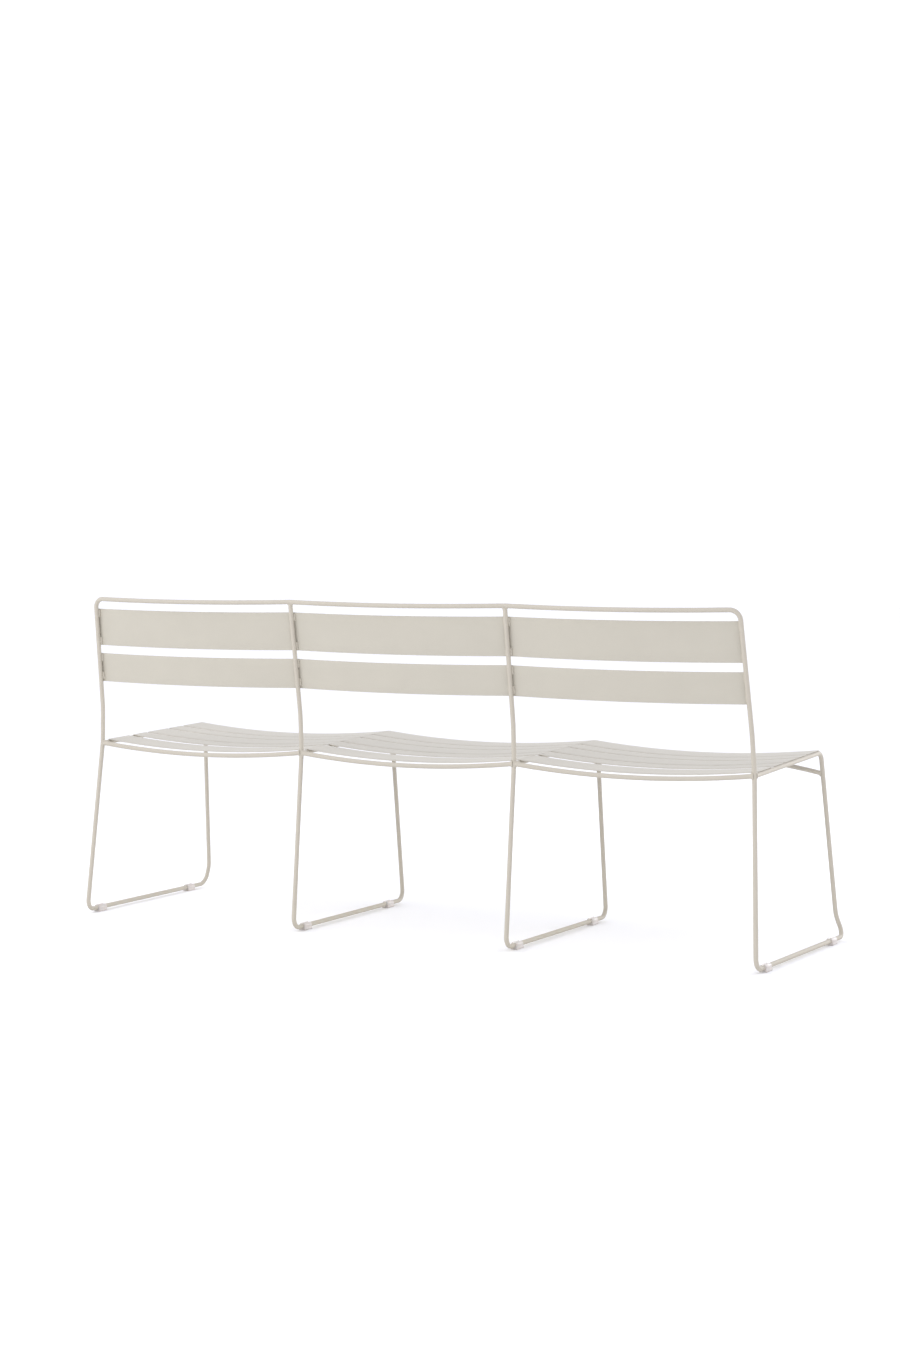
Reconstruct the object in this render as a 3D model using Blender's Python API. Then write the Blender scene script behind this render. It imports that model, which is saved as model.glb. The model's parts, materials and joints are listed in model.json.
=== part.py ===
"""Three-seat garden bench: round-rod sled frames, curved sheet slats, push-on glides.

Metres, +Z up, +X along the bench, the sitter faces -Y.
The origin is on the floor, under the centre of the bench.
"""
import bpy
import bmesh
import math
from mathutils import Vector

for old in list(bpy.data.objects):
    bpy.data.objects.remove(old, do_unlink=True)

# ---------------------------------------------------------------- dimensions
ROD_R = 0.0055            # every rod is 11 mm round bar
GAP = 0.0003              # clearance between touching pieces
SHEET = 0.0015            # slat thickness

BAY_MID = 0.570           # centre-to-centre of the two middle frames, at the back
BAY_END = 0.585           # middle frame to end frame
TOE_MID = 0.0060          # middle frames open this much towards the front, each

# side profile; D is the distance forward of the rear seat joint
RUNNER_Z = 0.0100         # rod centre on the floor runner
JOINT_Z = 0.4374          # bend of the rear rod at the seat
JOINT_D = 0.0
BEND_Z = 0.5250           # slight bend of the upright
BEND_D = -0.0061
TOP_Z = 0.8000            # top rail centre
TOP_D = -0.0587
RAIL_JOINT_Z = 0.4338     # where the seat side rail meets the rear rod
FRONT_TOP_Z = 0.4551      # front corner of the seat rail
FRONT_TOP_D = 0.4715
FOOT_REAR_D = -0.0328
FOOT_FRONT_D = 0.5410
R_HEEL = 0.025            # bends of the rod, at its centre line
R_TOE = 0.024
R_TOE_END = 0.030         # the toe bend of an end frame
R_SEAT_CORNER = 0.023
R_JOINT = 0.060
R_BEND = 0.300
R_TOP_CORNER = 0.045

# end frames lean outward towards the floor
SPLAY_REAR = 0.0517       # outward metres per metre of drop
SPLAY_FRONT = 0.0614
KINK_Z = 0.0600           # the front leg kicks out below this height
KINK_OUT = 0.0145
R_KINK = 0.100

# back
BACK_BOW = 0.0220         # top rail bow per bay
SLAT_BOW = 0.0174
UPPER_SLAT = (0.6823, 0.7741)   # heights on the uprights
LOWER_SLAT = (0.5904, 0.6621)
SLAT_PAST = 0.0010        # slats end this far past the centre of an end frame's rod
SLAT_SHORT = 0.0006       # and this far short of the centre of a middle frame's rod

# seat
SEAT_SAG = 0.0173
SEAT_SLATS = (            # front edge and rear edge of each seat slat, as D
    ("front", 0.458, 0.366),
    ("second", 0.360, 0.298),
    ("third", 0.292, 0.200),
    ("fourth", 0.194, 0.132),
    ("rear", 0.115, 0.023),
)
RAIL_SAG = 0.0174         # rear seat rail
RAIL_Z = 0.4341
RAIL_D = -0.0015
STRETCH_Z = 0.4040        # front stretcher at the legs
STRETCH_RISE = 0.0300

# glides
GLIDE_LEN = 0.035
GLIDE_W = 0.0184
GLIDE_TOP_R = 0.0084
GLIDE_OPEN = 26.0         # half angle of the slit on top, degrees
GLIDE_REAR_D = 0.0260
GLIDE_FRONT_D = 0.4570

Y_SHIFT = 0.22853         # depth of the rear seat joint behind the origin

SEG = 14                  # sides of a round rod


# ---------------------------------------------------------------- placing
def pt(u, d, z):
    """u along the bench, d forward of the rear joint, z up."""
    return Vector((u, Y_SHIFT - d, z))


def lerp(a, b, t):
    return a + (b - a) * t


def frame_u(k, z, front=False, d=0.0):
    """Position along X of frame k (0..3 from -X) at height z."""
    side = (-1, -1, 1, 1)[k]
    if k in (0, 3):
        s = SPLAY_FRONT if front else SPLAY_REAR
        return side * (BAY_MID / 2 + BAY_END + s * (JOINT_Z - z))
    return side * (BAY_MID / 2 + TOE_MID * max(0.0, d) / FRONT_TOP_D)


def upright_d(z):
    """Centre of the upright above its bend."""
    return lerp(BEND_D, TOP_D, (z - BEND_Z) / (TOP_Z - BEND_Z))


LEAN = math.atan2(BEND_D - TOP_D, TOP_Z - BEND_Z)
# backward normal of the leaning back, in (d, z)
NRM_D, NRM_Z = -math.cos(LEAN), -math.sin(LEAN)


def rail_z(d):
    """Centre height of the seat side rail."""
    return lerp(RAIL_JOINT_Z, FRONT_TOP_Z, d / FRONT_TOP_D)


# ---------------------------------------------------------------- meshes
MATS = {}


def material(name, rgb, rough, metal=0.0):
    if name not in MATS:
        m = bpy.data.materials.new(name)
        m.use_nodes = True
        b = m.node_tree.nodes["Principled BSDF"]
        b.inputs["Base Color"].default_value = (rgb[0], rgb[1], rgb[2], 1.0)
        b.inputs["Roughness"].default_value = rough
        b.inputs["Metallic"].default_value = metal
        m.diffuse_color = (rgb[0], rgb[1], rgb[2], 1.0)
        MATS[name] = m
    return MATS[name]


POWDER = ("powder_coat", (0.63, 0.57, 0.50), 0.55, 0.0)
PLASTIC = ("glide_plastic", (0.72, 0.67, 0.62), 0.45, 0.0)


def finish(name, verts, faces, mat, sharp=40.0):
    me = bpy.data.meshes.new(name)
    me.from_pydata([tuple(v) for v in verts], [], faces)
    bm = bmesh.new()
    bm.from_mesh(me)
    bmesh.ops.remove_doubles(bm, verts=bm.verts, dist=1e-6)
    bmesh.ops.recalc_face_normals(bm, faces=bm.faces)
    if bm.calc_volume(signed=True) < 0:
        bmesh.ops.reverse_faces(bm, faces=bm.faces)
    bm.to_mesh(me)
    bm.free()
    me.materials.append(material(*mat))
    ob = bpy.data.objects.new(name, me)
    bpy.context.scene.collection.objects.link(ob)
    me.shade_smooth()
    me.set_sharp_from_angle(angle=math.radians(sharp))
    return ob


def fillet(points, radii, step=13.0):
    """Round the inner corners of a polyline; radius 0 keeps the point."""
    out = [points[0].copy()]
    for i in range(1, len(points) - 1):
        p, a, b, r = points[i], points[i - 1], points[i + 1], radii[i]
        if r <= 0:
            out.append(p.copy())
            continue
        d1 = (a - p).normalized()
        d2 = (b - p).normalized()
        ang = math.acos(max(-1.0, min(1.0, d1.dot(d2))))
        turn = math.pi - ang
        t = r * math.tan(turn / 2)
        t = min(t, 0.48 * (a - p).length, 0.48 * (b - p).length)
        r = t / math.tan(turn / 2)
        s, e = p + d1 * t, p + d2 * t
        c = p + (d1 + d2).normalized() * (r / math.cos(turn / 2))
        n = max(2, int(math.ceil(math.degrees(turn) / step)))
        va, vb = s - c, e - c
        om = va.angle(vb)
        for j in range(n + 1):
            f = j / n
            w = (va * math.sin((1 - f) * om) + vb * math.sin(f * om)) / math.sin(om)
            out.append(c + w)
    out.append(points[-1].copy())
    return out


def sweep_mesh(path, r, seg=SEG, ref=None):
    """Tube with flat ends along a path, with a frame that doesn't twist."""
    n = len(path)
    tang = []
    for i in range(n):
        if i == 0:
            t = path[1] - path[0]
        elif i == n - 1:
            t = path[-1] - path[-2]
        else:
            t = (path[i + 1] - path[i]).normalized() + (path[i] - path[i - 1]).normalized()
        tang.append(t.normalized())
    nrm = ref if ref is not None else Vector((1, 0, 0))
    nrm = (nrm - tang[0] * nrm.dot(tang[0])).normalized()
    verts, faces = [], []
    for i in range(n):
        if i:
            ax = tang[i - 1].cross(tang[i])
            if ax.length > 1e-9:
                from_t = tang[i - 1].angle(tang[i])
                ax.normalize()
                nrm = (nrm * math.cos(from_t) + ax.cross(nrm) * math.sin(from_t)
                       + ax * ax.dot(nrm) * (1 - math.cos(from_t)))
            nrm = (nrm - tang[i] * nrm.dot(tang[i])).normalized()
        bi = tang[i].cross(nrm)
        # keep the rod round through a bend: widen the mitre ring in the bend plane
        stretch, dirn = 1.0, None
        if 0 < i < n - 1:
            a = (path[i] - path[i - 1]).normalized()
            b = (path[i + 1] - path[i]).normalized()
            half = a.angle(b) / 2
            if half > 1e-4:
                stretch = 1.0 / math.cos(half)
                dirn = (b - a).normalized()
        for j in range(seg):
            th = 2 * math.pi * (j + 0.5) / seg
            o = nrm * (r * math.cos(th)) + bi * (r * math.sin(th))
            if dirn is not None:
                o = o + dirn * (o.dot(dirn) * (stretch - 1.0))
            verts.append(path[i] + o)
    for i in range(n - 1):
        for j in range(seg):
            a = i * seg + j
            b = i * seg + (j + 1) % seg
            faces.append((a, b, b + seg, a + seg))
    faces.append(tuple(range(seg - 1, -1, -1)))
    faces.append(tuple((n - 1) * seg + j for j in range(seg)))
    return verts, faces


def rod(name, path, r=ROD_R, seg=SEG, ref=None):
    v, f = sweep_mesh(path, r, seg, ref)
    return finish(name, v, f, POWDER)


def union(target, other):
    mod = target.modifiers.new("join", "BOOLEAN")
    mod.operation = "UNION"
    mod.solver = "EXACT"
    mod.object = other
    dg = bpy.context.evaluated_depsgraph_get()
    me = bpy.data.meshes.new_from_object(target.evaluated_get(dg))
    target.modifiers.clear()
    old = target.data
    target.data = me
    bpy.data.meshes.remove(old)
    bpy.data.objects.remove(other, do_unlink=True)
    me.shade_smooth()
    me.set_sharp_from_angle(angle=math.radians(40))


# ---------------------------------------------------------------- side frames
def side_frame(k):
    end = k in (0, 3)
    side = (-1, -1, 1, 1)[k]
    ub = frame_u(k, JOINT_Z)
    top = pt(frame_u(k, TOP_Z), TOP_D, TOP_Z)
    bend = pt(frame_u(k, BEND_Z), BEND_D, BEND_Z)
    joint = pt(ub, JOINT_D, JOINT_Z)
    heel = pt(frame_u(k, RUNNER_Z), FOOT_REAR_D, RUNNER_Z)
    fd = lerp(FRONT_TOP_D, FOOT_FRONT_D, (FRONT_TOP_Z - KINK_Z) / (FRONT_TOP_Z - RUNNER_Z))
    corner = pt(frame_u(k, FRONT_TOP_Z, True, FRONT_TOP_D), FRONT_TOP_D, FRONT_TOP_Z)
    down = (bend - top).normalized()
    if end:
        start = top + down * (R_TOP_CORNER + 0.0040 + GAP)
        toe = pt(frame_u(k, RUNNER_Z, True) + side * KINK_OUT, FOOT_FRONT_D, RUNNER_Z)
        kink = pt(frame_u(k, KINK_Z, True), fd, KINK_Z)
    else:
        start = top + down * (ROD_R + GAP + 0.0006)
        toe = pt(frame_u(k, RUNNER_Z, True, FRONT_TOP_D), FOOT_FRONT_D, RUNNER_Z)
        kink = None
    meet = pt(frame_u(k, RAIL_JOINT_Z), JOINT_D, RAIL_JOINT_Z)
    back_dir = (meet - corner).normalized()
    stop = meet - back_dir * (ROD_R + 0.0012)
    pts = [start, bend, joint, heel, toe]
    rad = [0, R_BEND, R_JOINT, R_HEEL, R_TOE_END if end else R_TOE]
    if kink is not None:
        pts.append(kink)
        rad.append(R_KINK)
    pts += [corner, stop]
    rad += [R_SEAT_CORNER, 0]
    ob = rod(NAMES[k], fillet(pts, rad))
    # weld of the side rail on the upright: a short collar that joins both
    v, f = sweep_mesh([meet - back_dir * 0.0010, meet - back_dir * (ROD_R + 0.0030),
                       meet - back_dir * (ROD_R + 0.0042)], ROD_R + 0.0006, 16,
                      Vector((1, 0.11, 0)))
    for j in range(16):        # taper the collar's outer end
        c = meet - back_dir * (ROD_R + 0.0042)
        v[32 + j] = c + (v[32 + j] - c) * 0.86
    col = finish("collar", v, f, POWDER)
    union(ob, col)
    return ob


NAMES = ("end_frame_1", "middle_frame_2", "middle_frame_3", "end_frame_4")
for k in range(4):
    side_frame(k)


# ---------------------------------------------------------------- top rail
def bay_ends(b, z=JOINT_Z, d=0.0):
    return frame_u(b, z, False, d), frame_u(b + 1, z, False, d)


def top_rail():
    n = 12
    pts, rad = [], []
    for b in range(3):
        a, c = bay_ends(b, TOP_Z)
        for i in range(n + 1):
            s = i / n
            if b and i == 0:
                continue
            near_end = (b == 0 and 0 < s < 0.14) or (b == 2 and 0.86 < s < 1)
            if near_end:
                continue
            bow = BACK_BOW * 4 * s * (1 - s)
            pts.append(pt(lerp(a, c, s), TOP_D + NRM_D * bow, TOP_Z + NRM_Z * bow))
            rad.append(0.0)
            if b < 2 and i == n:
                rad[-1] = 0.060
    rad[0] = rad[-1] = R_TOP_CORNER
    first = pt(frame_u(0, TOP_Z), TOP_D, TOP_Z)
    last = pt(frame_u(3, TOP_Z), TOP_D, TOP_Z)
    d0 = (pt(frame_u(0, BEND_Z), BEND_D, BEND_Z) - first).normalized()
    d3 = (pt(frame_u(3, BEND_Z), BEND_D, BEND_Z) - last).normalized()
    pts = [first + d0 * (R_TOP_CORNER + 0.0040)] + pts + [last + d3 * (R_TOP_CORNER + 0.0040)]
    rad = [0] + rad + [0]
    return rod("top_rail", fillet(pts, rad))


top_rail()


# ---------------------------------------------------------------- back slats
def back_slat(name, b, z0, z1, n=16):
    """Sheet on the sitter's side of two uprights, bowed backward between them."""
    verts, faces = [], []
    end0 = -SLAT_PAST if b == 0 else SLAT_SHORT
    end1 = -SLAT_PAST if b == 2 else SLAT_SHORT
    for i in range(n + 1):
        for z, off in ((z0, 0.0), (z1, 0.0), (z1, SHEET), (z0, SHEET)):
            a, c = bay_ends(b, z)
            u = lerp(a + end0, c - end1, i / n)
            s = (u - a) / (c - a)
            bow = SLAT_BOW * 4 * s * (1 - s) - (ROD_R + GAP) - off
            verts.append(pt(u, upright_d(z) + NRM_D * bow, z + NRM_Z * bow))
    for i in range(n):
        for j in range(4):
            a, c = i * 4 + j, i * 4 + (j + 1) % 4
            faces.append((a, c, c + 4, a + 4))
    faces.append((3, 2, 1, 0))
    faces.append((n * 4, n * 4 + 1, n * 4 + 2, n * 4 + 3))
    return finish(name, verts, faces, POWDER, 30.0)


for b in range(3):
    back_slat("back_slat_upper_%d" % (b + 1), b, *UPPER_SLAT)
    back_slat("back_slat_lower_%d" % (b + 1), b, *LOWER_SLAT)


# ---------------------------------------------------------------- seat slats
def seat_slat(name, b, df, dr, n=16):
    """Thin strip across a bay, dished between the side rails it rests on."""
    verts, faces = [], []
    end0 = -SLAT_PAST if b == 0 else SLAT_SHORT
    end1 = -SLAT_PAST if b == 2 else SLAT_SHORT
    lift = ROD_R + GAP
    for i in range(n + 1):
        for d, off in ((df, 0.0), (dr, 0.0), (dr, SHEET), (df, SHEET)):
            a, c = frame_u(b, rail_z(d), True, d), frame_u(b + 1, rail_z(d), True, d)
            u = lerp(a + end0, c - end1, i / n)
            s = (u - a) / (c - a)
            z = rail_z(d) + lift + off - SEAT_SAG * 4 * s * (1 - s)
            verts.append(pt(u, d, z))
    for i in range(n):
        for j in range(4):
            a, c = i * 4 + j, i * 4 + (j + 1) % 4
            faces.append((a, c, c + 4, a + 4))
    faces.append((3, 2, 1, 0))
    faces.append((n * 4, n * 4 + 1, n * 4 + 2, n * 4 + 3))
    return finish(name, verts, faces, POWDER, 30.0)


for b in range(3):
    for label, df, dr in SEAT_SLATS:
        seat_slat("seat_slat_%d_%s" % (b + 1, label), b, df, dr)


# ---------------------------------------------------------------- cross rods
def cross_rod(name, b, d, z, rise, front, n=12):
    """Curved rod between two neighbouring frames, cut square at both ends."""
    a, c = frame_u(b, z, front, FRONT_TOP_D if front else 0.0), frame_u(b + 1, z, front, FRONT_TOP_D if front else 0.0)
    ins = ROD_R + GAP + (0.0013 if front else 0.0010)
    path = []
    for i in range(n + 1):
        u = lerp(a + ins, c - ins, i / n)
        s = (u - a) / (c - a)
        path.append(pt(u, d, z + rise * 4 * s * (1 - s)))
    return rod(name, path, ref=Vector((0, 1, 0)))


def front_leg_d(z):
    return lerp(FRONT_TOP_D, FOOT_FRONT_D, (FRONT_TOP_Z - z) / (FRONT_TOP_Z - RUNNER_Z))


for b in range(3):
    cross_rod("rear_seat_rail_%d" % (b + 1), b, RAIL_D, RAIL_Z, -RAIL_SAG, False)
    cross_rod("front_stretcher_%d" % (b + 1), b, front_leg_d(STRETCH_Z), STRETCH_Z, STRETCH_RISE, True)


# ---------------------------------------------------------------- glides
def glide(name, k, d):
    """Snap-on clip: open on top, wrapped round the runner, flat underneath."""
    side = (-1, -1, 1, 1)[k]
    heel = pt(frame_u(k, RUNNER_Z), FOOT_REAR_D, RUNNER_Z)
    if k in (0, 3):
        toe = pt(frame_u(k, RUNNER_Z, True) + side * KINK_OUT, FOOT_FRONT_D, RUNNER_Z)
    else:
        toe = pt(frame_u(k, RUNNER_Z, True, FRONT_TOP_D), FOOT_FRONT_D, RUNNER_Z)
    along = (toe - heel).normalized()
    across = along.cross(Vector((0, 0, 1))).normalized()
    mid = heel + along * ((d - FOOT_REAR_D) / (FOOT_FRONT_D - FOOT_REAR_D) * (toe - heel).length)
    hw = GLIDE_W / 2
    outer = []
    a0 = 90.0 - GLIDE_OPEN
    for i in range(6):
        th = math.radians(lerp(a0, 4.0, i / 5))
        outer.append((GLIDE_TOP_R * math.cos(th), GLIDE_TOP_R * math.sin(th)))
    outer += [(GLIDE_TOP_R + 0.0002, -0.0030), (hw, -0.0060), (hw, -RUNNER_Z + 0.0009), (hw - 0.0009, -RUNNER_Z)]
    outer += [(-x, z) for x, z in reversed(outer)]
    inner = []
    ri = (ROD_R + GAP) / math.cos(math.pi / 24) + 0.00002
    m = 16
    for i in range(m + 1):
        th = math.radians(lerp(180.0 - a0, 360.0 + a0, i / m))
        inner.append((ri * math.cos(th), ri * math.sin(th)))
    stations = ((-0.5, 0.0011), (-0.5, 0.0), (0.5, 0.0), (0.5, 0.0011))
    shifts = (0.0, 0.0011, -0.0011, 0.0)
    verts, faces = [], []
    for (f, inset), sh in zip(stations, shifts):
        base = mid + along * (f * GLIDE_LEN + sh)
        for x, z in outer:
            k1 = 1.0
            if inset:
                ln = math.hypot(x, z)
                k1 = (ln - inset) / ln
            verts.append(base + across * (x * k1) + Vector((0, 0, z * k1)))
        for x, z in inner:
            verts.append(base + across * x + Vector((0, 0, z)))
    m2 = len(outer) + len(inner)
    for s in range(3):
        for j in range(m2):
            a, c = s * m2 + j, s * m2 + (j + 1) % m2
            faces.append((a, c, c + m2, a + m2))
    no, ni = len(outer), len(inner)
    # ends: strips between the outer and inner outlines
    for s in (0, 3):
        o = [s * m2 + j for j in range(no)]
        inn = [s * m2 + no + ni - 1 - j for j in range(ni)]
        i = j = 0
        while i < no - 1 or j < ni - 1:
            if j >= ni - 1 or (i < no - 1 and (i + 1) / (no - 1) <= (j + 1) / (ni - 1)):
                faces.append((o[i], o[i + 1], inn[j]))
                i += 1
            else:
                faces.append((o[i], inn[j + 1], inn[j]))
                j += 1
    return finish(name, verts, faces, PLASTIC, 35.0)


for k in range(4):
    glide("glide_%d_rear" % (k + 1), k, GLIDE_REAR_D)
    glide("glide_%d_front" % (k + 1), k, GLIDE_FRONT_D)
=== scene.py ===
"""Three-seat garden bench, visual model: powder-coated round rod, curved sheet slats,
weld beads and push-on glides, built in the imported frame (metres, +Z up)."""
import bpy
import bmesh
import json
import math
from mathutils import Matrix, Vector, noise


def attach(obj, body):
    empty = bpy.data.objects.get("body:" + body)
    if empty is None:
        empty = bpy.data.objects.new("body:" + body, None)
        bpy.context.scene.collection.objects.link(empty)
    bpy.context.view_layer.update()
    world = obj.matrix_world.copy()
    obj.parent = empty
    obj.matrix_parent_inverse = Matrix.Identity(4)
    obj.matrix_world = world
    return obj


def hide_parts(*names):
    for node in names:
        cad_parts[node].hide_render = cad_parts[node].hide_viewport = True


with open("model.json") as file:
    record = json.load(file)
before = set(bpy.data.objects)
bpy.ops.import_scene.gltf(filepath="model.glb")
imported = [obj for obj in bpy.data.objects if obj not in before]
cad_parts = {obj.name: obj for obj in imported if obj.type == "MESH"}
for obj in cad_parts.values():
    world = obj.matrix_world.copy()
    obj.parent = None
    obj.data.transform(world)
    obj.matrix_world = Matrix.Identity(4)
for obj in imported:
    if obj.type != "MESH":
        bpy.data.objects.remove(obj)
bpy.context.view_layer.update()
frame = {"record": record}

# ---------------------------------------------------------------- dimensions
ROD_R = 0.0055            # 11 mm round bar
RV = 0.00545              # its radius under the coat, kept inside the frame's box
GAP = 0.0003
SHEET = 0.0015

BAY_MID = 0.570
BAY_END = 0.585
TOE_MID = 0.0060

RUNNER_Z = 0.0100
JOINT_Z = 0.4374
JOINT_D = 0.0
BEND_Z = 0.5250
BEND_D = -0.0061
TOP_Z = 0.8000
TOP_D = -0.0587
RAIL_JOINT_Z = 0.4338
FRONT_TOP_Z = 0.4551
FRONT_TOP_D = 0.4715
FOOT_REAR_D = -0.0328
FOOT_FRONT_D = 0.5408
R_HEEL = 0.025
R_TOE = 0.024
R_TOE_END = 0.030
R_SEAT_CORNER = 0.023
R_JOINT = 0.060
R_BEND = 0.300
R_TOP_CORNER = 0.045

SPLAY_REAR = 0.0517
SPLAY_FRONT = 0.0614
KINK_Z = 0.0600
KINK_OUT = 0.0145
R_KINK = 0.100

BACK_BOW = 0.0220
SLAT_BOW = 0.0174
UPPER_SLAT = (0.6823, 0.7741)
LOWER_SLAT = (0.5904, 0.6621)
SLAT_PAST = 0.0010
SLAT_SHORT = 0.0006
TAB_INSET = 0.0012
TAB_LEN = 0.0205

SEAT_SAG = 0.0173
SEAT_SLATS = (
    ("front", 0.458, 0.366),
    ("second", 0.360, 0.298),
    ("third", 0.292, 0.200),
    ("fourth", 0.194, 0.132),
    ("rear", 0.115, 0.023),
)
RAIL_SAG = 0.0174
RAIL_Z = 0.4341
RAIL_D = -0.0015
STRETCH_Z = 0.4040
STRETCH_RISE = 0.0300

GLIDE_LEN = 0.035
GLIDE_W = 0.0184
GLIDE_TOP_R = 0.0084
GLIDE_OPEN = 26.0
GLIDE_REAR_D = 0.0260
GLIDE_FRONT_D = 0.4570

Y_SHIFT = 0.22853

SEG = 28                  # sides of a round rod
BEND_STEP = 4.5           # degrees of bend for each ring


# ---------------------------------------------------------------- placing
def pt(u, d, z):
    return Vector((u, Y_SHIFT - d, z))


def lerp(a, b, t):
    return a + (b - a) * t


def frame_u(k, z, front=False, d=0.0):
    side = (-1, -1, 1, 1)[k]
    if k in (0, 3):
        s = SPLAY_FRONT if front else SPLAY_REAR
        return side * (BAY_MID / 2 + BAY_END + s * (JOINT_Z - z))
    return side * (BAY_MID / 2 + TOE_MID * max(0.0, d) / FRONT_TOP_D)


def upright_d(z):
    return lerp(BEND_D, TOP_D, (z - BEND_Z) / (TOP_Z - BEND_Z))


LEAN = math.atan2(BEND_D - TOP_D, TOP_Z - BEND_Z)
NRM_D, NRM_Z = -math.cos(LEAN), -math.sin(LEAN)


def rail_z(d):
    return lerp(RAIL_JOINT_Z, FRONT_TOP_Z, d / FRONT_TOP_D)


def front_leg_d(z):
    return lerp(FRONT_TOP_D, FOOT_FRONT_D, (FRONT_TOP_Z - z) / (FRONT_TOP_Z - RUNNER_Z))


def bay_ends(b, z=JOINT_Z, d=0.0):
    return frame_u(b, z, False, d), frame_u(b + 1, z, False, d)


# ---------------------------------------------------------------- materials
def new_material(name):
    m = bpy.data.materials.new(name)
    m.use_nodes = True
    nt = m.node_tree
    return m, nt, nt.nodes["Principled BSDF"]


def noise_node(nt, coord, scale, detail=2.0, rough=0.5):
    n = nt.nodes.new("ShaderNodeTexNoise")
    n.inputs["Scale"].default_value = scale
    n.inputs["Detail"].default_value = detail
    n.inputs["Roughness"].default_value = rough
    nt.links.new(coord, n.inputs["Vector"])
    return n


def ramp(nt, value, stops):
    r = nt.nodes.new("ShaderNodeValToRGB")
    r.color_ramp.elements[0].position, c0 = stops[0]
    r.color_ramp.elements[0].color = (*c0, 1.0)
    r.color_ramp.elements[1].position, c1 = stops[-1]
    r.color_ramp.elements[1].color = (*c1, 1.0)
    for pos, col in stops[1:-1]:
        e = r.color_ramp.elements.new(pos)
        e.color = (*col, 1.0)
    nt.links.new(value, r.inputs["Fac"])
    return r


def mix_rgb(nt, kind, fac, a, b):
    x = nt.nodes.new("ShaderNodeMix")
    x.data_type = "RGBA"
    x.blend_type = kind
    for sock, val in ((x.inputs["Factor"], fac), (x.inputs["A"], a), (x.inputs["B"], b)):
        if isinstance(val, (int, float)):
            sock.default_value = val
        elif isinstance(val, tuple):
            sock.default_value = (*val, 1.0)
        else:
            nt.links.new(val, sock)
    return [s for s in x.outputs if s.type == "RGBA"][0]


def math_node(nt, op, a, b):
    x = nt.nodes.new("ShaderNodeMath")
    x.operation = op
    for i, val in enumerate((a, b)):
        if isinstance(val, (int, float)):
            x.inputs[i].default_value = val
        else:
            nt.links.new(val, x.inputs[i])
    return x.outputs[0]


def powder(name, rgb, rough=0.52, lump=1.0, tint=0.018, ior=1.48, spec=0.5):
    """Fine-textured polyester powder coat on steel: orange peel, faint clouding, lighter rubbed edges."""
    m, nt, b = new_material(name)
    tc = nt.nodes.new("ShaderNodeTexCoord").outputs["Object"]
    peel = noise_node(nt, tc, 950.0, 2.0, 0.5)            # about 1 mm orange peel
    grain = noise_node(nt, tc, 4200.0, 1.0, 0.5)          # sub-millimetre grain
    wave = noise_node(nt, tc, 120.0, 2.0, 0.4)            # slow thickness changes
    cloud = noise_node(nt, tc, 11.0, 3.0, 0.55)
    lo = tuple(c * (1.0 - tint) for c in rgb)
    hi = tuple(min(1.0, c * (1.0 + 0.6 * tint)) for c in rgb)
    base = ramp(nt, cloud.outputs["Fac"], [(0.30, lo), (0.70, hi)])
    speck = ramp(nt, grain.outputs["Fac"], [(0.30, (0.955, 0.955, 0.955)), (0.62, (1.0, 1.0, 1.0))])
    col = mix_rgb(nt, "MULTIPLY", 1.0, base.outputs["Color"], speck.outputs["Color"])
    geo = nt.nodes.new("ShaderNodeNewGeometry")
    wear = ramp(nt, geo.outputs["Pointiness"], [(0.52, (0.0, 0.0, 0.0)), (0.60, (1.0, 1.0, 1.0))])
    patch = ramp(nt, wave.outputs["Fac"], [(0.42, (0.0, 0.0, 0.0)), (0.62, (0.55, 0.55, 0.55))])
    edge = mix_rgb(nt, "MULTIPLY", 1.0, wear.outputs["Color"], patch.outputs["Color"])
    rubbed = tuple(min(1.0, c * 1.10) for c in rgb)
    col = mix_rgb(nt, "MIX", edge, col, rubbed)
    nt.links.new(col, b.inputs["Base Color"])
    r = ramp(nt, peel.outputs["Fac"], [(0.30, (rough - 0.07,) * 3), (0.70, (rough + 0.07,) * 3)])
    nt.links.new(r.outputs["Color"], b.inputs["Roughness"])
    b.inputs["Metallic"].default_value = 0.0
    b.inputs["IOR"].default_value = ior
    b.inputs["Specular IOR Level"].default_value = spec
    b.inputs["Coat Weight"].default_value = 0.0
    h = math_node(nt, "ADD", math_node(nt, "MULTIPLY", peel.outputs["Fac"], 0.7),
                  math_node(nt, "MULTIPLY", grain.outputs["Fac"], 0.3))
    bump = nt.nodes.new("ShaderNodeBump")
    bump.inputs["Strength"].default_value = 0.55
    bump.inputs["Distance"].default_value = 0.00010 * lump
    nt.links.new(h, bump.inputs["Height"])
    bump2 = nt.nodes.new("ShaderNodeBump")
    bump2.inputs["Strength"].default_value = 0.35
    bump2.inputs["Distance"].default_value = 0.00025 * lump
    nt.links.new(wave.outputs["Fac"], bump2.inputs["Height"])
    nt.links.new(bump.outputs["Normal"], bump2.inputs["Normal"])
    nt.links.new(bump2.outputs["Normal"], b.inputs["Normal"])
    return m


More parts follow.
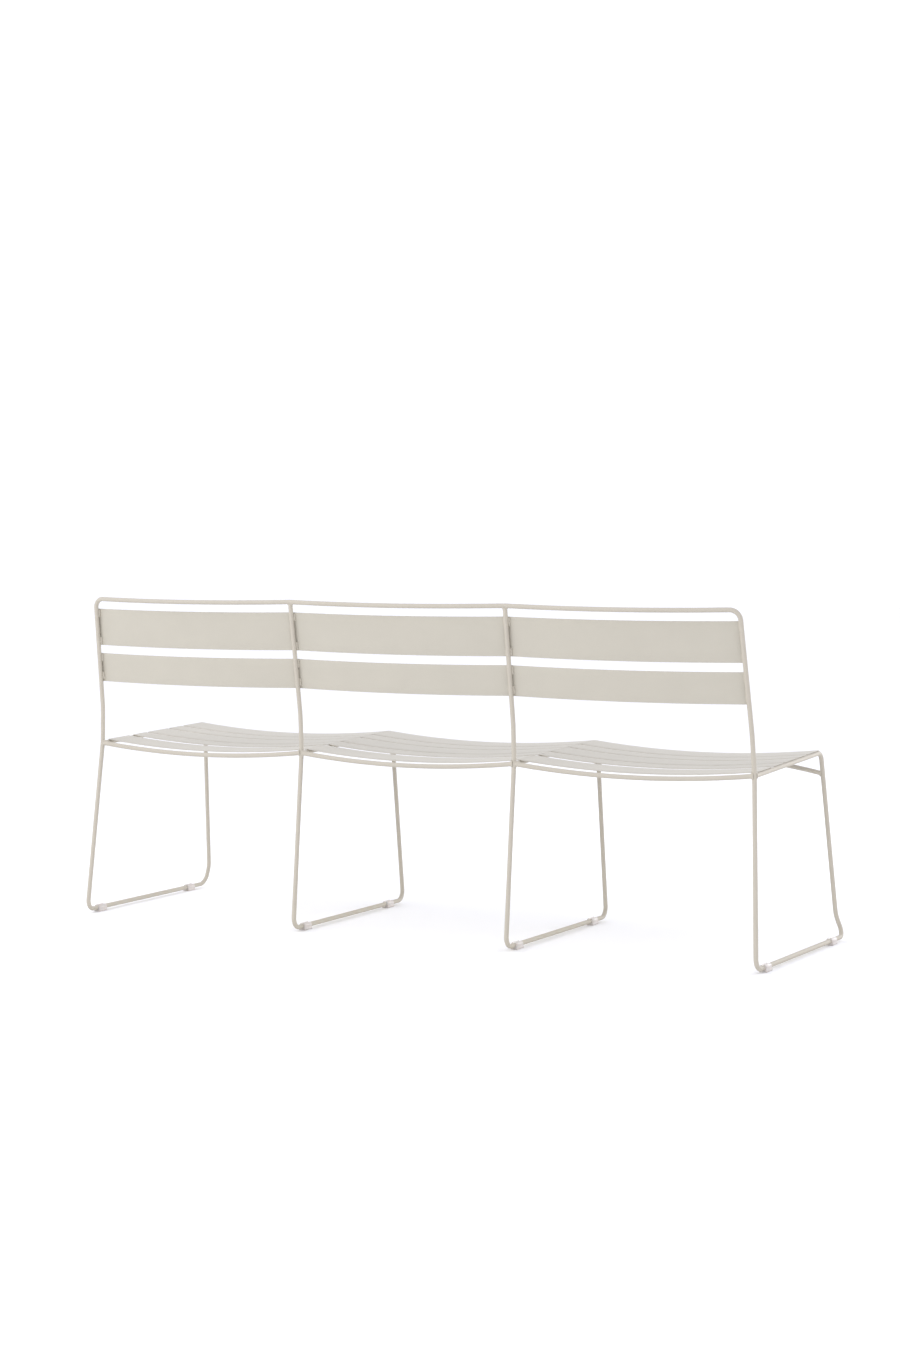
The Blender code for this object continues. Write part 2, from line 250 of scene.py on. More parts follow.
def clip_plastic(name, rgb):
    """Milky, slightly see-through moulded plastic with scuffs."""
    m, nt, b = new_material(name)
    tc = nt.nodes.new("ShaderNodeTexCoord").outputs["Object"]
    cloud = noise_node(nt, tc, 160.0, 3.0, 0.6)
    scuff = noise_node(nt, tc, 1500.0, 2.0, 0.6)
    lo = tuple(c * 0.90 for c in rgb)
    base = ramp(nt, cloud.outputs["Fac"], [(0.32, lo), (0.68, rgb)])
    nt.links.new(base.outputs["Color"], b.inputs["Base Color"])
    r = ramp(nt, scuff.outputs["Fac"], [(0.35, (0.34,) * 3), (0.7, (0.52,) * 3)])
    nt.links.new(r.outputs["Color"], b.inputs["Roughness"])
    b.inputs["Subsurface Weight"].default_value = 0.25
    b.inputs["Subsurface Radius"].default_value = (1.0, 0.75, 0.6)
    b.inputs["Subsurface Scale"].default_value = 0.002
    b.inputs["IOR"].default_value = 1.50
    bump = nt.nodes.new("ShaderNodeBump")
    bump.inputs["Strength"].default_value = 0.4
    bump.inputs["Distance"].default_value = 0.00008
    nt.links.new(scuff.outputs["Fac"], bump.inputs["Height"])
    nt.links.new(bump.outputs["Normal"], b.inputs["Normal"])
    return m


COAT = (0.499, 0.468, 0.395)
# painted light: the rods and weld beads get a lighter copy of the one powder coat, standing in for how the light reads
# on them
COAT_ROD_PAINTED_LIGHT = (0.520, 0.480, 0.407)
# painted shade: the seat slats get a darker copy of the one powder coat, standing in for how the light falls on the
# up-facing seat
COAT_SEAT_PAINTED_SHADE = (0.486, 0.455, 0.388)
M_ROD = powder("powder_coat_rod_painted_light", COAT_ROD_PAINTED_LIGHT, 0.50, ior=1.34, spec=0.14)
M_SHEET = powder("powder_coat_sheet", COAT, 0.55)
M_SEAT = powder("powder_coat_seat_painted_shade", COAT_SEAT_PAINTED_SHADE, 0.42)
M_WELD = powder("powder_coat_weld_painted_light", COAT_ROD_PAINTED_LIGHT, 0.50, lump=1.8, ior=1.34, spec=0.14)
M_CLIP = clip_plastic("glide_milky_plastic", (0.60, 0.555, 0.525))


# ---------------------------------------------------------------- meshes
def add_piece(name, verts, faces, mat, nodes=(), slot_name=None, sharp=38.0):
    me = bpy.data.meshes.new(name)
    me.from_pydata([tuple(v) for v in verts], [], faces)
    bm = bmesh.new()
    bm.from_mesh(me)
    bmesh.ops.remove_doubles(bm, verts=bm.verts, dist=1e-7)
    bmesh.ops.recalc_face_normals(bm, faces=bm.faces)
    if bm.calc_volume(signed=True) < 0:
        bmesh.ops.reverse_faces(bm, faces=bm.faces)
    bm.to_mesh(me)
    bm.free()
    me.materials.append(mat)
    ob = bpy.data.objects.new(name, me)
    bpy.context.scene.collection.objects.link(ob)
    me.shade_smooth()
    me.set_sharp_from_angle(angle=math.radians(sharp))
    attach(ob, "root")
    if nodes:
        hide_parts(*nodes)
    return ob


SLOT_METAL = None
SLOT_PLASTIC = None
for entry in frame["record"].get("materials", []):
    s = entry.get("slot")
    if s and "plastic" in s:
        SLOT_PLASTIC = s
    elif s:
        SLOT_METAL = s


def fillet(points, radii, step=BEND_STEP):
    out = [points[0].copy()]
    for i in range(1, len(points) - 1):
        p, a, b, r = points[i], points[i - 1], points[i + 1], radii[i]
        if r <= 0:
            out.append(p.copy())
            continue
        d1 = (a - p).normalized()
        d2 = (b - p).normalized()
        ang = math.acos(max(-1.0, min(1.0, d1.dot(d2))))
        turn = math.pi - ang
        t = r * math.tan(turn / 2)
        t = min(t, 0.48 * (a - p).length, 0.48 * (b - p).length)
        r = t / math.tan(turn / 2)
        s, e = p + d1 * t, p + d2 * t
        c = p + (d1 + d2).normalized() * (r / math.cos(turn / 2))
        n = max(2, int(math.ceil(math.degrees(turn) / step)))
        va, vb = s - c, e - c
        om = va.angle(vb)
        for j in range(n + 1):
            f = j / n
            w = (va * math.sin((1 - f) * om) + vb * math.sin(f * om)) / math.sin(om)
            out.append(c + w)
    out.append(points[-1].copy())
    return out


def thin(path, longest):
    """Split the long straight runs so that no segment is longer than this."""
    out = [path[0]]
    for a, b in zip(path, path[1:]):
        n = max(1, int(math.ceil((b - a).length / longest)))
        for i in range(1, n + 1):
            out.append(a.lerp(b, i / n))
    return out


def sweep(path, radii, seg=SEG, ref=None, ends=0.0006):
    """Round tube along a path; radii is one number or one for each point. ends softens the rim."""
    if not isinstance(radii, (list, tuple)):
        radii = [radii] * len(path)
    radii = list(radii)
    path = [p.copy() for p in path]
    if ends > 0:
        for side in (0, -1):
            a, b = (path[0], path[1]) if side == 0 else (path[-1], path[-2])
            t = (b - a).normalized()
            r = radii[side]
            new = [(a, r - ends), (a + t * ends * 0.3, r - ends * 0.3), (a + t * ends, r)]
            if side == 0:
                path = [x[0] for x in new] + path[1:]
                radii = [x[1] for x in new] + radii[1:]
            else:
                path = path[:-1] + [x[0] for x in reversed(new)]
                radii = radii[:-1] + [x[1] for x in reversed(new)]
    n = len(path)
    tang = []
    for i in range(n):
        if i == 0:
            t = path[1] - path[0]
        elif i == n - 1:
            t = path[-1] - path[-2]
        else:
            t = (path[i + 1] - path[i]).normalized() + (path[i] - path[i - 1]).normalized()
        tang.append(t.normalized())
    nrm = ref if ref is not None else Vector((1, 0, 0))
    nrm = (nrm - tang[0] * nrm.dot(tang[0])).normalized()
    verts, faces = [], []
    for i in range(n):
        if i:
            ax = tang[i - 1].cross(tang[i])
            if ax.length > 1e-9:
                th = tang[i - 1].angle(tang[i])
                ax.normalize()
                nrm = (nrm * math.cos(th) + ax.cross(nrm) * math.sin(th)
                       + ax * ax.dot(nrm) * (1 - math.cos(th)))
            nrm = (nrm - tang[i] * nrm.dot(tang[i])).normalized()
        bi = tang[i].cross(nrm)
        stretch, dirn = 1.0, None
        if 0 < i < n - 1:
            a = (path[i] - path[i - 1]).normalized()
            b = (path[i + 1] - path[i]).normalized()
            half = a.angle(b) / 2
            if half > 1e-4:
                stretch = 1.0 / math.cos(half)
                dirn = (b - a).normalized()
        for j in range(seg):
            th = 2 * math.pi * j / seg
            o = nrm * (radii[i] * math.cos(th)) + bi * (radii[i] * math.sin(th))
            if dirn is not None:
                o = o + dirn * (o.dot(dirn) * (stretch - 1.0))
            verts.append(path[i] + o)
    for i in range(n - 1):
        for j in range(seg):
            a = i * seg + j
            b = i * seg + (j + 1) % seg
            faces.append((a, b, b + seg, a + seg))
    faces.append(tuple(range(seg - 1, -1, -1)))
    faces.append(tuple((n - 1) * seg + j for j in range(seg)))
    return verts, faces


# ---------------------------------------------------------------- side frames
NAMES = ("end_frame_1", "middle_frame_2", "middle_frame_3", "end_frame_4")


def frame_points(k):
    side = (-1, -1, 1, 1)[k]
    top = pt(frame_u(k, TOP_Z), TOP_D, TOP_Z)
    bend = pt(frame_u(k, BEND_Z), BEND_D, BEND_Z)
    joint = pt(frame_u(k, JOINT_Z), JOINT_D, JOINT_Z)
    heel = pt(frame_u(k, RUNNER_Z), FOOT_REAR_D, RUNNER_Z)
    fd = lerp(FRONT_TOP_D, FOOT_FRONT_D, (FRONT_TOP_Z - KINK_Z) / (FRONT_TOP_Z - RUNNER_Z))
    corner = pt(frame_u(k, FRONT_TOP_Z, True, FRONT_TOP_D), FRONT_TOP_D, FRONT_TOP_Z)
    if k in (0, 3):
        toe = pt(frame_u(k, RUNNER_Z, True) + side * KINK_OUT, FOOT_FRONT_D, RUNNER_Z)
        kink = pt(frame_u(k, KINK_Z, True), fd, KINK_Z)
    else:
        toe = pt(frame_u(k, RUNNER_Z, True, FRONT_TOP_D), FOOT_FRONT_D, RUNNER_Z)
        kink = None
    return top, bend, joint, heel, toe, kink, corner


def seat_joint(k):
    return pt(frame_u(k, RAIL_JOINT_Z), JOINT_D, RAIL_JOINT_Z)


def side_frame(k):
    top, bend, joint, heel, toe, kink, corner = frame_points(k)
    down = (bend - top).normalized()
    if k in (0, 3):
        start = top + down * (R_TOP_CORNER + 0.0040 + GAP)
    else:
        start = top + down * (ROD_R * 0.75)
    meet = seat_joint(k)
    back_dir = (meet - corner).normalized()
    stop = meet - back_dir * (ROD_R * 0.6)
    pts = [start, bend, joint, heel, toe]
    rad = [0, R_BEND, R_JOINT, R_HEEL, R_TOE if kink is None else R_TOE_END]
    if kink is not None:
        pts.append(kink)
        rad.append(R_KINK)
    pts += [corner, stop]
    rad += [R_SEAT_CORNER, 0]
    path = thin(fillet(pts, rad), 0.060)
    v, f = sweep(path, RV, ends=0.0)
    add_piece(NAMES[k] + "_bent_rod", v, f, M_ROD, (NAMES[k],), SLOT_METAL)


for k in range(4):
    side_frame(k)


# ---------------------------------------------------------------- top rail
def rail_point(b, s):
    a, c = bay_ends(b, TOP_Z)
    bow = BACK_BOW * 4 * s * (1 - s)
    return pt(lerp(a, c, s), TOP_D + NRM_D * bow, TOP_Z + NRM_Z * bow)


def top_rail():
    n = 24
    pts, rad = [], []
    for b in range(3):
        for i in range(n + 1):
            s = i / n
            if b and i == 0:
                continue
            if (b == 0 and 0 < s < 0.14) or (b == 2 and 0.86 < s < 1):
                continue
            pts.append(rail_point(b, s))
            rad.append(0.0)
            if b < 2 and i == n:
                rad[-1] = 0.060
    rad[0] = rad[-1] = R_TOP_CORNER
    first = pt(frame_u(0, TOP_Z), TOP_D, TOP_Z)
    last = pt(frame_u(3, TOP_Z), TOP_D, TOP_Z)
    d0 = (pt(frame_u(0, BEND_Z), BEND_D, BEND_Z) - first).normalized()
    d3 = (pt(frame_u(3, BEND_Z), BEND_D, BEND_Z) - last).normalized()
    pts = [first + d0 * (R_TOP_CORNER + 0.0042)] + pts + [last + d3 * (R_TOP_CORNER + 0.0042)]
    rad = [0] + rad + [0]
    v, f = sweep(fillet(pts, rad), RV, ends=0.0)
    add_piece("top_rail_bent_rod", v, f, M_ROD, ("top_rail",), SLOT_METAL)


top_rail()


# ---------------------------------------------------------------- sheet slats
def strip(name, mat, node, wid, place, span, n=48, soft=0.0030):
    """Thin sheet strip with rolled long edges and rounded corners.
    place(w, h, s) gives a point: w across the strip, h from its mid plane, s along it from 0 to 1."""
    e = SHEET / 2
    rr = 0.0007
    prof = []
    for a in range(0, 181, 30):
        th = math.radians(a - 90)
        prof.append((wid - rr + rr * math.cos(th), e * math.sin(th)))
    prof += [(wid * 0.75, e), (wid * 0.5, e), (wid * 0.25, e)]
    for a in range(0, 181, 30):
        th = math.radians(a + 90)
        prof.append((rr + rr * math.cos(th), e * math.sin(th)))
    prof += [(wid * 0.25, -e), (wid * 0.5, -e), (wid * 0.75, -e)]
    m = len(prof)
    near_end = [0.0, 0.0004, 0.0012, 0.0030]
    cols = [i / n for i in range(n + 1)]
    cols = sorted(set([x / span for x in near_end] + [1 - x / span for x in near_end] + cols[1:-1]))
    verts, faces = [], []
    for s in cols:
        near = min(s, 1 - s) * span
        cut = soft - math.sqrt(max(0.0, soft * soft - (soft - near) ** 2)) if near < soft else 0.0
        thin_end = 0.6 if near < 1e-6 else 1.0
        for w, h in prof:
            if w > wid - 0.0045:
                w -= cut
            elif w < 0.0045:
                w += cut
            verts.append(place(w, h * thin_end, s))
    k = len(cols)
    for i in range(k - 1):
        for j in range(m):
            p, q = i * m + j, i * m + (j + 1) % m
            faces.append((p, q, q + m, p + m))
    faces.append(tuple(range(m - 1, -1, -1)))
    faces.append(tuple((k - 1) * m + j for j in range(m)))
    return add_piece(name, verts, faces, mat, (node,), SLOT_METAL, 35.0)


def slat_ends(b):
    return (-SLAT_PAST if b == 0 else SLAT_SHORT), (-SLAT_PAST if b == 2 else SLAT_SHORT)


def back_slat(name, b, z0, z1):
    """Sheet on the sitter's side of two uprights, bowed backward between them."""
    end0, end1 = slat_ends(b)

    def place(w, h, s):
        z = z0 + w
        fa, fc = bay_ends(b, z)
        u = lerp(fa + end0, fc - end1, s)
        sb = (u - fa) / (fc - fa)
        bow = SLAT_BOW * 4 * sb * (1 - sb) - (ROD_R + GAP + SHEET / 2) - h
        return pt(u, upright_d(z) + NRM_D * bow, z + NRM_Z * bow)

    fa, fc = bay_ends(b, (z0 + z1) / 2)
    strip(name + "_sheet", M_SHEET, name, z1 - z0, place, fc - fa - end0 - end1)
    h = z1 - z0
    for end in (0, 1):
        low = TAB_INSET if "upper" in name else 0.0048
        for q, lo in enumerate((low, h - TAB_INSET - TAB_LEN)):
            weld_strip("%s_weld_%s_%s" % (name, ("right", "left")[end], ("lower", "upper")[q]),
                       b + end, (1, -1)[end], z0 + lo, z0 + lo + TAB_LEN)


def weld_strip(name, k, sgn, za, zb):
    """Lumpy bead in the corner between the front of an upright and the back of a slat."""
    n, seg = 23, 12
    verts, faces = [], []
    seed = Vector((k * 3.1, sgn * 1.7, za * 40.0))
    back = pt(0, NRM_D, NRM_Z) - pt(0, 0, 0)
    for i in range(n):
        f = i / (n - 1)
        z = lerp(za, zb, f)
        wob = 0.00025 * noise.noise(seed + Vector((4.0, 0, f * 6.0)))
        u = frame_u(k, z) + sgn * (0.0060 + wob)
        bow = -0.0038
        ctr = pt(u, upright_d(z) + NRM_D * bow, z + NRM_Z * bow)
        cap = math.sqrt(max(0.0, 1.0 - (2 * f - 1) ** 6))
        ripple = 1.0 + 0.09 * math.sin(f * math.pi * 2 * 6.0 + k) + 0.16 * noise.noise(seed + Vector((0, 0, f * 7.0)))
        w = 0.0025 * cap * ripple + 0.0001
        t = 0.0026 * cap * ripple + 0.0001
        for j in range(seg):
            th = 2 * math.pi * j / seg
            verts.append(ctr + Vector((1, 0, 0)) * (w * math.cos(th)) + back * (t * math.sin(th)))
    for i in range(n - 1):
        for j in range(seg):
            a, c = i * seg + j, i * seg + (j + 1) % seg
            faces.append((a, c, c + seg, a + seg))
    faces.append(tuple(range(seg - 1, -1, -1)))
    faces.append(tuple((n - 1) * seg + j for j in range(seg)))
    add_piece(name, verts, faces, M_WELD, (), SLOT_METAL, 60.0)


for b in range(3):
    back_slat("back_slat_upper_%d" % (b + 1), b, *UPPER_SLAT)
    back_slat("back_slat_lower_%d" % (b + 1), b, *LOWER_SLAT)


def seat_slat(name, b, df, dr):
    """Dished sheet strip resting on two side rails."""
    end0, end1 = slat_ends(b)
    lift = ROD_R + GAP + SHEET / 2

    def place(w, h, s):
        d = dr + w
        fa, fc = frame_u(b, rail_z(d), True, d), frame_u(b + 1, rail_z(d), True, d)
        u = lerp(fa + end0, fc - end1, s)
        sb = (u - fa) / (fc - fa)
        return pt(u, d, rail_z(d) + lift + h - SEAT_SAG * 4 * sb * (1 - sb))

    d = (df + dr) / 2
    fa, fc = frame_u(b, rail_z(d), True, d), frame_u(b + 1, rail_z(d), True, d)
    strip(name + "_sheet", M_SEAT, name, df - dr, place, fc - fa - end0 - end1)


for b in range(3):
    for label, df, dr in SEAT_SLATS:
        seat_slat("seat_slat_%d_%s" % (b + 1, label), b, df, dr)


# ---------------------------------------------------------------- cross rods
def cross_path(b, d, z, rise, front, n=36):
    dd = FRONT_TOP_D if front else 0.0
    a, c = frame_u(b, z, front, dd), frame_u(b + 1, z, front, dd)
    ins = ROD_R * 0.55
    path = []
    for i in range(n + 1):
        u = lerp(a + ins, c - ins, i / n)
        s = (u - a) / (c - a)
        path.append(pt(u, d, z + rise * 4 * s * (1 - s)))
    return path


def collar(name, centre, axis, wall_axis, r=ROD_R, wall_r=ROD_R, leg=0.0030, seed=0.0, low=1.0):
    """Fillet weld where a rod of radius r ends on another rod.
    centre is where the two centre lines meet, axis points from there along the ending rod."""
    axis = axis.normalized()
    wall_axis = (wall_axis - axis * wall_axis.dot(axis)).normalized()
    side = axis.cross(wall_axis).normalized()
    seg = 30
    rings = 7
    verts, faces = [], []
    for j in range(seg):
        th = 2 * math.pi * j / seg
        lump = 1.0 + 0.16 * noise.noise(Vector((math.cos(th) * 2.2 + seed, math.sin(th) * 2.2, seed * 1.7)))
        lump += 0.07 * math.sin(th * 9 + seed)
        for i in range(rings):
            f = i / (rings - 1)
            # concave-to-flat fillet from the rod (f 0) down to the wall rod (f 1)
            bulge = 0.25 * math.sin(math.pi * f) * leg
            out = leg * lump * (f ** 1.35)
            rise = leg * lump * ((1 - f) ** 1.35)
            rho = r + out + bulge * 0.4
            x = rho * math.cos(th)        # along the wall rod
            y = rho * math.sin(th)        # across it
            wy = max(-0.985 * wall_r, min(0.985 * wall_r, y))
            wall = math.sqrt(wall_r * wall_r - wy * wy)
            if abs(y) > 0.985 * wall_r:
                y = math.copysign(0.985 * wall_r + (abs(y) - 0.985 * wall_r) * 0.35, y)
            h = wall + rise * low + bulge * 0.6
            if i == 0:
                rho0 = r - 0.0012
                verts.append(centre + wall_axis * (rho0 * math.cos(th)) + side * (rho0 * math.sin(th))
                             + axis * (wall + leg * lump * low))
            verts.append(centre + wall_axis * x + side * y + axis * h)
        # foot, inside the wall rod
        rho1 = r * 0.6
        verts.append(centre + wall_axis * (rho1 * math.cos(th)) + side * (rho1 * math.sin(th)) + axis * (wall_r * 0.55))
    m = rings + 2
    for j in range(seg):
        jj = (j + 1) % seg
        for i in range(m - 1):
            faces.append((j * m + i, jj * m + i, jj * m + i + 1, j * m + i + 1))
    faces.append(tuple(j * m for j in range(seg)))
    faces.append(tuple((seg - 1 - j) * m + m - 1 for j in range(seg)))
    add_piece(name, verts, faces, M_WELD, (), SLOT_METAL, 75.0)


def upright_axis(k, z):
    """Direction of the frame's rear rod at height z, pointing up."""
    top, bend, joint, heel, toe, kink, corner = frame_points(k)
    if z > BEND_Z:
        return (top - bend).normalized()
    if z > JOINT_Z + 0.01:
        return (bend - joint).normalized()
    return ((bend - joint).normalized() + (joint - heel).normalized()).normalized()


for b in range(3):
    for label, d, z, rise, front in (("rear_seat_rail", RAIL_D, RAIL_Z, -RAIL_SAG, False),
                                     ("front_stretcher", front_leg_d(STRETCH_Z), STRETCH_Z, STRETCH_RISE, True)):
        path = cross_path(b, d, z, rise, front)
        v, f = sweep(path, RV, ref=Vector((0, 1, 0)), ends=0.0)
        name = "%s_%d" % (label, b + 1)
        add_piece(name + "_curved_rod", v, f, M_ROD, (name,), SLOT_METAL)
        for end, (p0, p1) in enumerate(((path[0], path[2]), (path[-1], path[-3]))):
            k = b + end
            ax = (p1 - p0).normalized()
            top, bend, joint, heel, toe, kink, corner = frame_points(k)
            wall = (corner - toe).normalized() if front else upright_axis(k, z)
            if front and kink is not None:
                wall = (corner - kink).normalized()
            centre = p0 - ax * (ROD_R * 0.55)
            collar("%s_weld_%s" % (name, ("right", "left")[end]), centre, ax, wall,
                   leg=0.0026 if front else 0.0030, seed=b * 2.3 + end * 5.1 + (9 if front else 0))

# side rail on the upright, and the upright under the top rail
for k in range(4):
    top, bend, joint, heel, toe, kink, corner = frame_points(k)
    collar(NAMES[k] + "_seat_rail_weld", seat_joint(k), corner - seat_joint(k), upright_axis(k, JOINT_Z),
           leg=0.0036, seed=20.0 + k)
    if k in (1, 2):
        collar(NAMES[k] + "_top_weld", top, bend - top, Vector((1, 0, 0)), leg=0.0026, seed=30.0 + k)


def butt_ring(name, centre, axis, seed):
    """Ground butt weld: a low, slightly uneven ring round the rod."""
    axis = axis.normalized()
    ref = Vector((1, 0, 0))
    ref = (ref - axis * ref.dot(axis)).normalized()
    side = axis.cross(ref)
    seg, prof = 30, ((-0.0026, -0.0008), (-0.0022, 0.00002), (-0.0012, 0.00022), (0.0, 0.00030),
                     (0.0012, 0.00022), (0.0022, 0.00002), (0.0026, -0.0008))
    verts, faces = [], []
    for j in range(seg):
        th = 2 * math.pi * j / seg
        lump = 1.0 + 0.5 * noise.noise(Vector((math.cos(th) * 2.0, math.sin(th) * 2.0, seed)))
        for a, r in prof:
            rr = RV + (r * lump if r > 0 else r)
            verts.append(centre + axis * a + (ref * math.cos(th) + side * math.sin(th)) * rr)
    m = len(prof)
    for j in range(seg):
        jj = (j + 1) % seg
        for i in range(m - 1):
            faces.append((j * m + i, jj * m + i, jj * m + i + 1, j * m + i + 1))
    faces.append(tuple(j * m for j in range(seg)))
    faces.append(tuple((seg - 1 - j) * m + m - 1 for j in range(seg)))
    add_piece(name, verts, faces, M_WELD, (), SLOT_METAL, 75.0)


for k in (0, 3):
    top, bend, joint, heel, toe, kink, corner = frame_points(k)
    down = (bend - top).normalized()
    butt_ring(NAMES[k] + "_top_butt_weld", top + down * (R_TOP_CORNER + 0.0041), down, 3.0 + k)


# spot welds that hold the seat slats on the side rails, seen from below
def tack(name, k, inner, d, seed):
    """Short bead under a slat's end, in the corner between the sheet and the side rail."""
    n, seg = 9, 10
    verts, faces = [], []
    half = 0.0085
    for i in range(n):
        f = i / (n - 1)
        dd = d + (f - 0.5) * 2 * half
        z = rail_z(dd)
        u = frame_u(k, z, True, dd) + inner * (ROD_R * 0.62)
        cap = math.sqrt(max(0.0, 1.0 - (2 * f - 1) ** 4))
        r = 0.0016 * cap * (1.0 + 0.14 * math.sin(f * 17.0 + seed)) + 0.0002
        ctr = pt(u, dd, z + ROD_R * 0.80)
        for j in range(seg):
            th = 2 * math.pi * j / seg
            verts.append(ctr + Vector((math.cos(th) * r, 0, math.sin(th) * r * 0.62)))
    for i in range(n - 1):
        for j in range(seg):
            a, c = i * seg + j, i * seg + (j + 1) % seg
            faces.append((a, c, c + seg, a + seg))
    faces.append(tuple(range(seg - 1, -1, -1)))
    faces.append(tuple((n - 1) * seg + j for j in range(seg)))
    add_piece(name, verts, faces, M_WELD, (), SLOT_METAL, 75.0)


for b in range(3):
    for label, df, dr in SEAT_SLATS:
        for end in (0, 1):
            k = b + end
            inner = 1 if end == 0 else -1
            tack("seat_slat_%d_%s_weld_%s" % (b + 1, label, ("right", "left")[end]), k, inner,
                 (df + dr) / 2, b * 3.0 + end + df * 50)


# ---------------------------------------------------------------- glides
def glide(name, k, d):
    """Snap-on clip with softened rims, a slit on top and a flat sole with a shallow rib each side."""
    side = (-1, -1, 1, 1)[k]
    heel = pt(frame_u(k, RUNNER_Z), FOOT_REAR_D, RUNNER_Z)
    if k in (0, 3):
        toe = pt(frame_u(k, RUNNER_Z, True) + side * KINK_OUT, FOOT_FRONT_D, RUNNER_Z)
    else:
        toe = pt(frame_u(k, RUNNER_Z, True, FRONT_TOP_D), FOOT_FRONT_D, RUNNER_Z)
    along = (toe - heel).normalized()
    across = along.cross(Vector((0, 0, 1))).normalized()
    mid = heel + along * ((d - FOOT_REAR_D) / (FOOT_FRONT_D - FOOT_REAR_D) * (toe - heel).length)
    hw = GLIDE_W / 2
    outer = []
    a0 = 90.0 - GLIDE_OPEN
    for i in range(11):
        th = math.radians(lerp(a0, 2.0, i / 10))
        outer.append((GLIDE_TOP_R * math.cos(th), GLIDE_TOP_R * math.sin(th)))
    outer += [(GLIDE_TOP_R + 0.0001, -0.0018), (GLIDE_TOP_R + 0.0002, -0.0032), (hw - 0.0003, -0.0052),
              (hw, -0.0060), (hw, -RUNNER_Z + 0.0012), (hw - 0.0004, -RUNNER_Z + 0.0004), (hw - 0.0012, -RUNNER_Z)]
    outer += [(-x, z) for x, z in reversed(outer)]
    inner = []
    ri = ROD_R - 0.00002
    m = 30
    for i in range(m + 1):
        th = math.radians(lerp(180.0 - a0, 360.0 + a0, i / m))
        inner.append((ri * math.cos(th), ri * math.sin(th)))
    st = ((-0.5, 0.0, 0.0016), (-0.5, 0.0003, 0.0009), (-0.5, 0.0009, 0.0003), (-0.5, 0.0016, 0.0),
          (0.0, 0.0, 0.0),
          (0.5, -0.0016, 0.0), (0.5, -0.0009, 0.0003), (0.5, -0.0003, 0.0009), (0.5, 0.0, 0.0016))
    verts, faces = [], []
    for f, sh, inset in st:
        base = mid + along * (f * GLIDE_LEN + sh)
        for x, z in outer:
            k1 = 1.0
            if inset:
                ln = math.hypot(x, z)
                k1 = max((ln - inset) / ln, (ri + 0.0004) / ln)
            verts.append(base + across * (x * k1) + Vector((0, 0, z * k1)))
        for x, z in inner:
            verts.append(base + across * x + Vector((0, 0, z)))
    m2 = len(outer) + len(inner)
    ns = len(st)
    for s in range(ns - 1):
        for j in range(m2):
            a, c = s * m2 + j, s * m2 + (j + 1) % m2
            faces.append((a, c, c + m2, a + m2))
    no, ni = len(outer), len(inner)
    for s in (0, ns - 1):
        o = [s * m2 + j for j in range(no)]
        inn = [s * m2 + no + ni - 1 - j for j in range(ni)]
        i = j = 0
        while i < no - 1 or j < ni - 1:
            if j >= ni - 1 or (i < no - 1 and (i + 1) / (no - 1) <= (j + 1) / (ni - 1)):
                faces.append((o[i], o[i + 1], inn[j]))
                i += 1
            else:
                faces.append((o[i], inn[j + 1], inn[j]))
                j += 1
    add_piece(name + "_clip", verts, faces, M_CLIP, (name,), SLOT_PLASTIC, 40.0)


for k in range(4):
    glide("glide_%d_rear" % (k + 1), k, GLIDE_REAR_D)
    glide("glide_%d_front" % (k + 1), k, GLIDE_FRONT_D)


# ---------------------------------------------------------------- floor, light, camera
def stage_floor():
    m, nt, b = new_material("studio_floor")
    tc = nt.nodes.new("ShaderNodeTexCoord").outputs["Object"]
    c = noise_node(nt, tc, 3.0, 3.0, 0.5)
    r = ramp(nt, c.outputs["Fac"], [(0.3, (0.945, 0.945, 0.945)), (0.7, (0.96, 0.96, 0.96))])
    nt.links.new(r.outputs["Color"], b.inputs["Base Color"])
    b.inputs["Roughness"].default_value = 0.9
    b.inputs["Specular IOR Level"].default_value = 0.2
    me = bpy.data.meshes.new("studio_floor")
    s = 60.0
    me.from_pydata([(-s, -s, 0), (s, -s, 0), (s, s, 0), (-s, s, 0)], [], [(0, 1, 2, 3)])
    me.materials.append(m)
    ob = bpy.data.objects.new("studio_floor", me)
    bpy.context.scene.collection.objects.link(ob)
    return ob


stage_floor()

world = bpy.data.worlds.new("studio")
bpy.context.scene.world = world
world.use_nodes = True
wt = world.node_tree
bg = wt.nodes["Background"]
bg.inputs["Strength"].default_value = 1.12
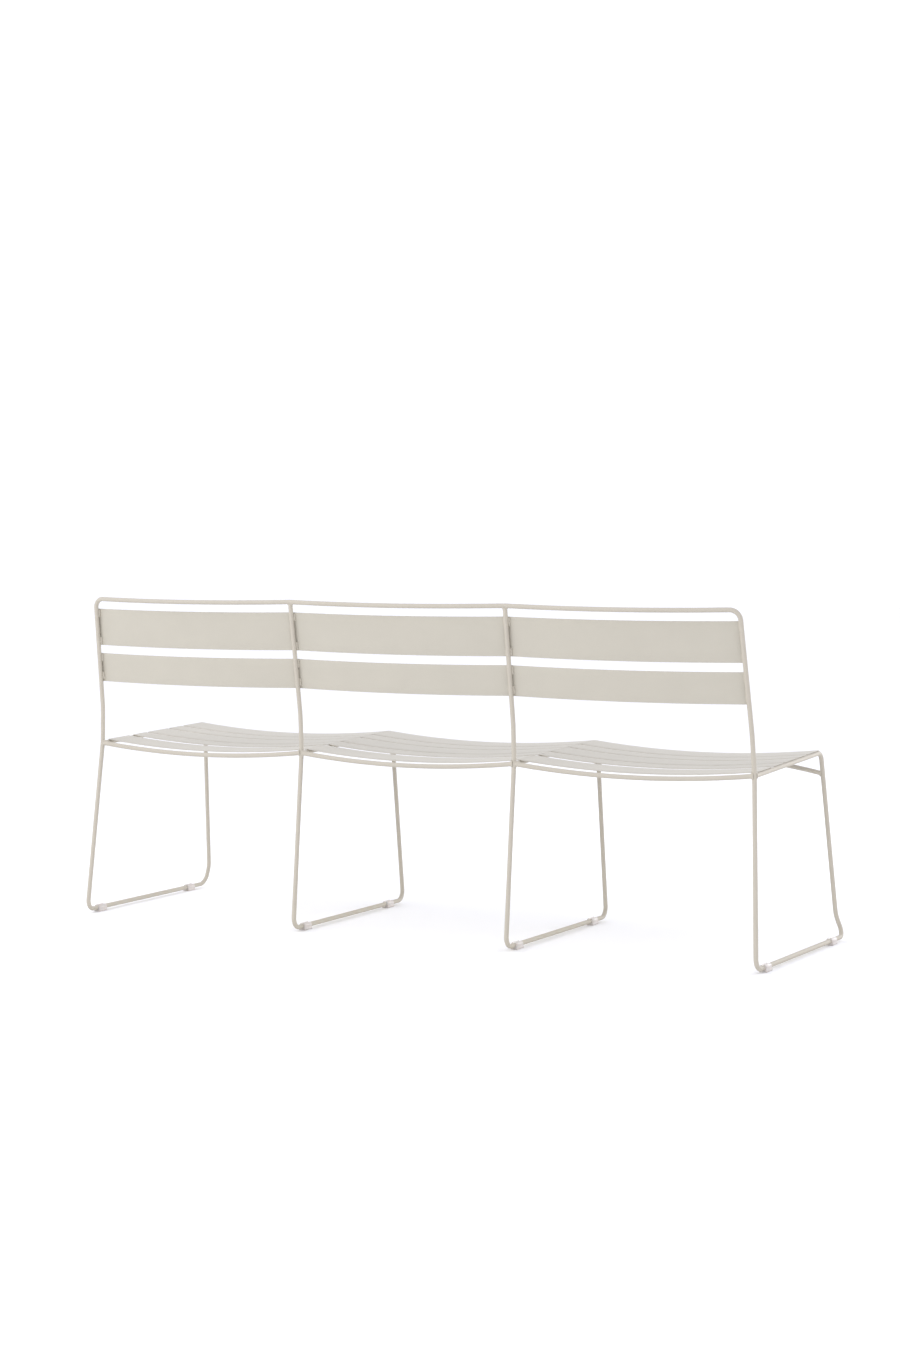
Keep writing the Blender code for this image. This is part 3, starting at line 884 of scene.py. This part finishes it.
# white round the horizon, a little dimmer and cooler overhead
sep = wt.nodes.new("ShaderNodeSeparateXYZ")
wt.links.new(wt.nodes.new("ShaderNodeTexCoord").outputs["Generated"], sep.inputs["Vector"])
sky = ramp(wt, sep.outputs["Z"], [(0.30, (1.0, 1.0, 1.0)), (0.75, (0.84, 0.855, 0.96))])
wt.links.new(sky.outputs["Color"], bg.inputs["Color"])


def area(name, loc, target, size, watts, rgb=(1, 1, 1)):
    l = bpy.data.lights.new(name, "AREA")
    l.shape = "RECTANGLE"
    l.size, l.size_y = size
    l.energy = watts
    l.color = rgb
    ob = bpy.data.objects.new(name, l)
    ob.location = loc
    ob.rotation_euler = (Vector(target) - Vector(loc)).to_track_quat("-Z", "Y").to_euler()
    bpy.context.scene.collection.objects.link(ob)
    return ob


area("key_softbox", (2.6, 3.4, 3.4), (0.2, 0, 0.4), (3.0, 2.6), 62.0)
area("back_softbox", (-2.3, -4.3, 1.3), (0, 0, 0.4), (1.6, 1.8), 60.0)
bpy.context.scene.view_settings.view_transform = "Standard"
bpy.context.scene.view_settings.exposure = 0.12

YAW, PITCH, ROLL = 0.47035, 0.04517, 0.00966
FOCAL_PX = 2316.35
EYE = Vector((-2.57266, Y_SHIFT + 4.83073, 0.87954))


def camera():
    fwd = Vector((math.sin(YAW) * math.cos(PITCH), -math.cos(YAW) * math.cos(PITCH), -math.sin(PITCH)))
    right = Vector((-math.cos(YAW), -math.sin(YAW), 0.0))
    up = right.cross(fwd)
    r2 = right * math.cos(ROLL) + up * math.sin(ROLL)
    u2 = up * math.cos(ROLL) - right * math.sin(ROLL)
    cam = bpy.data.cameras.new("camera")
    cam.sensor_fit = "VERTICAL"
    cam.sensor_height = 36.0
    cam.sensor_width = 24.0
    cam.lens = FOCAL_PX / 1350.0 * 36.0
    cam.clip_start, cam.clip_end = 0.05, 200.0
    cam.dof.use_dof = False
    ob = bpy.data.objects.new("camera", cam)
    bpy.context.scene.collection.objects.link(ob)
    ob.matrix_world = Matrix((
        (r2.x, u2.x, -fwd.x, EYE.x),
        (r2.y, u2.y, -fwd.y, EYE.y),
        (r2.z, u2.z, -fwd.z, EYE.z),
        (0.0, 0.0, 0.0, 1.0),
    ))
    bpy.context.scene.camera = ob


camera()

bpy.context.view_layer.update()
